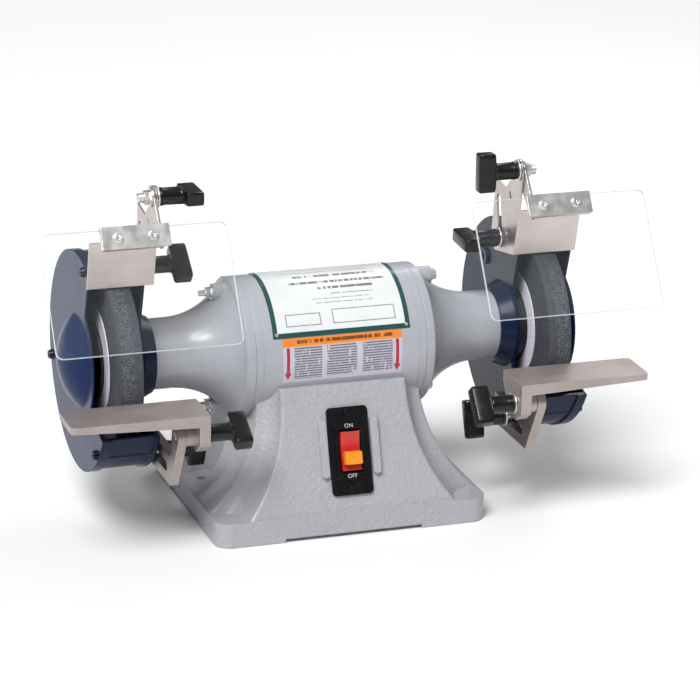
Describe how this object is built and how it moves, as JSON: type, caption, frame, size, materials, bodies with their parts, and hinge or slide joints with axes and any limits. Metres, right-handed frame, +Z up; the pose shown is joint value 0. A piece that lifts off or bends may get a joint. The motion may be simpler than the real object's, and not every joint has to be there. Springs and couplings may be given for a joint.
{
  "type": "bench grinder",
  "caption": "Double-ended bench grinder with cast base, guarded abrasive wheels, adjustable tool rests, spark arrestors and tilting eye shields.",
  "frame": {"origin": "on the bench, at the centre of the base between the two bench bolts, under the middle of the spindle", "axes": "+X along the spindle to the operator's right, +Y away from the operator, +Z up"},
  "size_m": [0.494, 0.214, 0.2912],
  "materials": {
    "base_paint": "hammered light grey paint",
    "motor_paint": "satin grey paint",
    "guard_paint": "glossy navy paint",
    "knob_black": "gloss",
    "rest_metal": "satin, worn edges",
    "bracket_metal": "satin",
    "arrestor_metal": "brushed",
    "shield_clear": "clear plastic",
    "zinc": "bright zinc",
    "abrasive": "coarse vitrified grain",
    "blotter": "printed card",
    "machined_steel": "turned",
    "printed_plate": "printed white and green",
    "printed_label": "printed film",
    "black_plastic": "fine texture",
    "red_plastic": "gloss",
    "key_plastic": "satin",
    "copper_wire": "enamelled turns",
    "laminations": "stacked sheet",
    "capacitor_can": "moulded case"
  },
  "bodies": {
    "base": {"base_casting": "base_paint", "base_cover_plate": "motor_paint", "base_cover_screws": "zinc", "cord_gland": "black_plastic", "switch_plate": "black_plastic", "switch_body": "black_plastic", "panel_screws": "zinc", "motor_shell": "motor_paint", "end_bell_left": "motor_paint", "end_bell_right": "motor_paint", "through_bolts": "zinc", "through_bolt_nuts": "zinc", "stator_core": "laminations", "stator_windings": "copper_wire", "run_capacitor": "capacitor_can", "capacitor_clamp": "zinc", "nameplate": "printed_plate", "information_label": "printed_label", "nameplate_rivets": "zinc", "bearing_outer_races": "machined_steel", "guard_left": "guard_paint", "guard_right": "guard_paint", "guard_cover_left": "guard_paint", "guard_cover_right": "guard_paint", "cover_screws": "zinc", "guard_mount_screws": "zinc"},
    "rotor": {"shaft": "machined_steel", "rotor_core": "laminations", "bearing_inner_races": "machined_steel", "bearing_balls": "machined_steel", "wheel_left": "abrasive", "wheel_right": "abrasive", "wheel_flanges": "machined_steel", "wheel_blotters": "blotter", "wheel_nuts": "zinc"},
    "rocker": {"switch_rocker": "red_plastic"},
    "key": {"safety_key": "key_plastic"},
    "bracket_right": {"rest_bracket_right": "bracket_metal"},
    "rest_right": {"tool_rest_right": "rest_metal"},
    "tilt_knob_right": {"tilt_knob_right": "knob_black"},
    "slide_knob_right": {"slide_knob_right": "knob_black"},
    "arrestor_right": {"spark_arrestor_right": "arrestor_metal"},
    "arrestor_knob_right": {"arrestor_knob_right": "knob_black"},
    "shield_right": {"shield_arm_right": "zinc", "eye_shield_right": "shield_clear", "clamp_plate_right": "zinc", "shield_hardware_right": "zinc"},
    "shield_knob_right": {"shield_knob_right": "knob_black"},
    "bracket_left": {"rest_bracket_left": "bracket_metal"},
    "rest_left": {"tool_rest_left": "rest_metal"},
    "tilt_knob_left": {"tilt_knob_left": "knob_black"},
    "slide_knob_left": {"slide_knob_left": "knob_black"},
    "arrestor_left": {"spark_arrestor_left": "arrestor_metal"},
    "arrestor_knob_left": {"arrestor_knob_left": "knob_black"},
    "shield_left": {"shield_arm_left": "zinc", "eye_shield_left": "shield_clear", "clamp_plate_left": "zinc", "shield_hardware_left": "zinc"},
    "shield_knob_left": {"shield_knob_left": "knob_black"}
  },
  "joints": [
    {"name": "spindle_turn", "type": "hinge", "parent": "base", "child": "rotor", "pos_m": [0, 0, 0.1338], "axis": [1, 0, 0], "continuous": true},
    {"name": "switch_rock", "type": "hinge", "parent": "base", "child": "rocker", "pos_m": [0, -0.07436, 0.06471], "axis": [1, 0, 0], "range_deg": [-7, 7]},
    {"name": "key_pull", "type": "slide", "parent": "rocker", "child": "key", "axis": [0, -0.9453, 0.3261], "range_m": [0, 0.012]},
    {"name": "bracket_slide_right", "type": "slide", "parent": "base", "child": "bracket_right", "axis": [0, 1, 0], "range_m": [-0.015, 0.0015]},
    {"name": "rest_tilt_right", "type": "hinge", "parent": "bracket_right", "child": "rest_right", "pos_m": [0.1318, -0.104, 0.1027], "axis": [1, 0, 0], "range_deg": [-8, 30]},
    {"name": "tilt_knob_turn_right", "type": "hinge", "parent": "bracket_right", "child": "tilt_knob_right", "pos_m": [0.12, -0.104, 0.1027], "axis": [1, 0, 0], "range_deg": [-180, 180]},
    {"name": "slide_knob_turn_right", "type": "hinge", "parent": "base", "child": "slide_knob_right", "pos_m": [0.135, -0.045, 0.0695], "axis": [1, 0, 0], "range_deg": [-180, 180]},
    {"name": "arrestor_slide_right", "type": "slide", "parent": "base", "child": "arrestor_right", "axis": [0, 0.2154, 0.9765], "range_m": [-0.001, 0.0035]},
    {"name": "arrestor_knob_turn_right", "type": "hinge", "parent": "base", "child": "arrestor_knob_right", "pos_m": [0.14, -0.0082, 0.21], "axis": [1, 0, 0], "range_deg": [-180, 180]},
    {"name": "shield_flip_right", "type": "hinge", "parent": "arrestor_right", "child": "shield_right", "pos_m": [0.1523, -0.04, 0.275], "axis": [-1, 0, 0], "range_deg": [-8, 100]},
    {"name": "shield_knob_turn_right", "type": "hinge", "parent": "arrestor_right", "child": "shield_knob_right", "pos_m": [0.14, -0.04, 0.275], "axis": [1, 0, 0], "range_deg": [-180, 180]},
    {"name": "bracket_slide_left", "type": "slide", "parent": "base", "child": "bracket_left", "axis": [0, 1, 0], "range_m": [-0.015, 0.0015]},
    {"name": "rest_tilt_left", "type": "hinge", "parent": "bracket_left", "child": "rest_left", "pos_m": [-0.1318, -0.104, 0.1027], "axis": [1, 0, 0], "range_deg": [-8, 30]},
    {"name": "tilt_knob_turn_left", "type": "hinge", "parent": "bracket_left", "child": "tilt_knob_left", "pos_m": [-0.12, -0.104, 0.1027], "axis": [1, 0, 0], "range_deg": [-180, 180]},
    {"name": "slide_knob_turn_left", "type": "hinge", "parent": "base", "child": "slide_knob_left", "pos_m": [-0.135, -0.045, 0.0695], "axis": [1, 0, 0], "range_deg": [-180, 180]},
    {"name": "arrestor_slide_left", "type": "slide", "parent": "base", "child": "arrestor_left", "axis": [0, 0.2154, 0.9765], "range_m": [-0.001, 0.0035]},
    {"name": "arrestor_knob_turn_left", "type": "hinge", "parent": "base", "child": "arrestor_knob_left", "pos_m": [-0.14, -0.0082, 0.21], "axis": [1, 0, 0], "range_deg": [-180, 180]},
    {"name": "shield_flip_left", "type": "hinge", "parent": "arrestor_left", "child": "shield_left", "pos_m": [-0.1523, -0.04, 0.275], "axis": [-1, 0, 0], "range_deg": [-8, 100]},
    {"name": "shield_knob_turn_left", "type": "hinge", "parent": "arrestor_left", "child": "shield_knob_left", "pos_m": [-0.14, -0.04, 0.275], "axis": [1, 0, 0], "range_deg": [-180, 180]}
  ]
}
